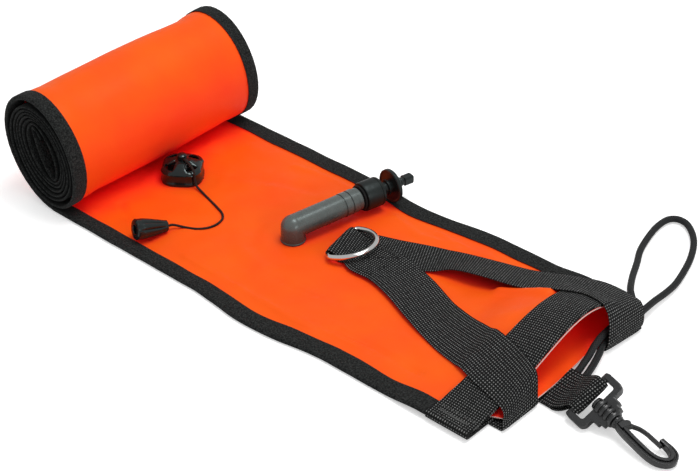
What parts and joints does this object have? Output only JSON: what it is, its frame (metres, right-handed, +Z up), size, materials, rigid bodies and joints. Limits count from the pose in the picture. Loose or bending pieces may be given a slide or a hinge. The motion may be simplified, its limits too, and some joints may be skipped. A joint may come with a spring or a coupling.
{
  "type": "surface marker buoy",
  "caption": "Diver's surface marker buoy: a cloth tube, part rolled up, with open mouth, strap bridle, oral inflator, dump valve and snap hook.",
  "frame": {"origin": "on the ground, on the tube's centre line, below the oral inflator's elbow", "axes": "+X along the tube from the roll to the mouth and its snap, +Y to the bungee's side, +Z up"},
  "size_m": [0.4246, 0.2316, 0.0702],
  "materials": {
    "coated_nylon": "coated orange nylon cloth, satin, slightly creased",
    "edge_tape": "dark folded edge tape, matt",
    "webbing": "woven black nylon webbing, matt",
    "gloss_plastic": "gloss black moulded plastic",
    "grey_plastic": "mid grey moulded plastic, satin",
    "dark_plastic": "dark grey moulded plastic, satin",
    "black_acetal": "black moulded acetal, satin",
    "black_rubber": "black rubber, matt",
    "polished_steel": "polished stainless steel rod",
    "spring_steel": "stainless wire and pin",
    "thin_cord": "thin braided black cord",
    "black_elastic": "black braided elastic cord"
  },
  "bodies": {
    "buoy": {"back_panel": "coated_nylon", "back_panel_rolled": "coated_nylon", "bridle_far_leg": "webbing", "bridle_near_leg": "webbing", "bungee_loop": "black_elastic", "dump_cap": "gloss_plastic", "dump_flange": "dark_plastic", "dump_spring": "spring_steel", "far_binding": "edge_tape", "far_binding_rolled": "edge_tape", "front_panel": "coated_nylon", "front_panel_rolled": "coated_nylon", "inflator_elbow": "grey_plastic", "inflator_flange": "dark_plastic", "inflator_seal": "black_rubber", "inflator_spring": "spring_steel", "inflator_valve_body": "dark_plastic", "mouth_band": "webbing", "near_binding": "edge_tape", "near_binding_rolled": "edge_tape", "snap_tab": "webbing", "top_end_tape": "edge_tape"},
    "plunger": {"inflator_plunger": "black_acetal"},
    "lock_ring": {"inflator_lock_ring": "dark_plastic"},
    "dump_stem": {"dump_stem": "gloss_plastic", "dump_diaphragm": "black_rubber", "dump_cord": "thin_cord", "pull_toggle": "gloss_plastic", "cord_knot": "thin_cord"},
    "d_ring": {"d_ring": "polished_steel"},
    "snap_frame": {"snap_frame": "black_acetal"},
    "snap_hook": {"snap_hook": "black_acetal", "gate_pin": "spring_steel"},
    "snap_gate": {"snap_gate": "black_acetal"}
  },
  "joints": [
    {"name": "inflator_press", "type": "slide", "parent": "buoy", "child": "plunger", "axis": [-0.2147, -0.9767, 0], "range_m": [0, 0.003], "stiffness_N_per_m": 400, "springref_m": -0.002, "deforming": ["inflator_spring"]},
    {"name": "lock_ring_turn", "type": "hinge", "parent": "buoy", "child": "lock_ring", "pos_m": [0.0025, -0.005, 0.013], "axis": [0.2147, 0.9767, 0], "range_deg": [0, 180]},
    {"name": "dump_lift", "type": "slide", "parent": "buoy", "child": "dump_stem", "axis": [0, 0, 1], "range_m": [0, 0.0015], "stiffness_N_per_m": 300, "springref_m": -0.002, "deforming": ["dump_spring"]},
    {"name": "d_ring_swing", "type": "hinge", "parent": "buoy", "child": "d_ring", "pos_m": [0.0273, 0.0062, 0.0059], "axis": [0.2113, -0.9774, 0], "range_deg": [0, 105]},
    {"name": "snap_fold", "type": "hinge", "parent": "buoy", "child": "snap_frame", "pos_m": [0.2109, -0.0157, 0.011], "axis": [-0.2437, -0.807, -0.5379], "range_deg": [0, 90]},
    {"name": "snap_swivel", "type": "hinge", "parent": "snap_frame", "child": "snap_hook", "pos_m": [0.2109, -0.0157, 0.011], "axis": [0.9695, -0.1885, -0.1564], "continuous": true},
    {"name": "gate_open", "type": "hinge", "parent": "snap_hook", "child": "snap_gate", "pos_m": [0.2356, -0.01806, 0.00709], "axis": [-0.1536, 0.0298, -0.9877], "range_deg": [0, 16], "stiffness_Nm_per_rad": 0.02, "springref_deg": -8.59}
  ]
}
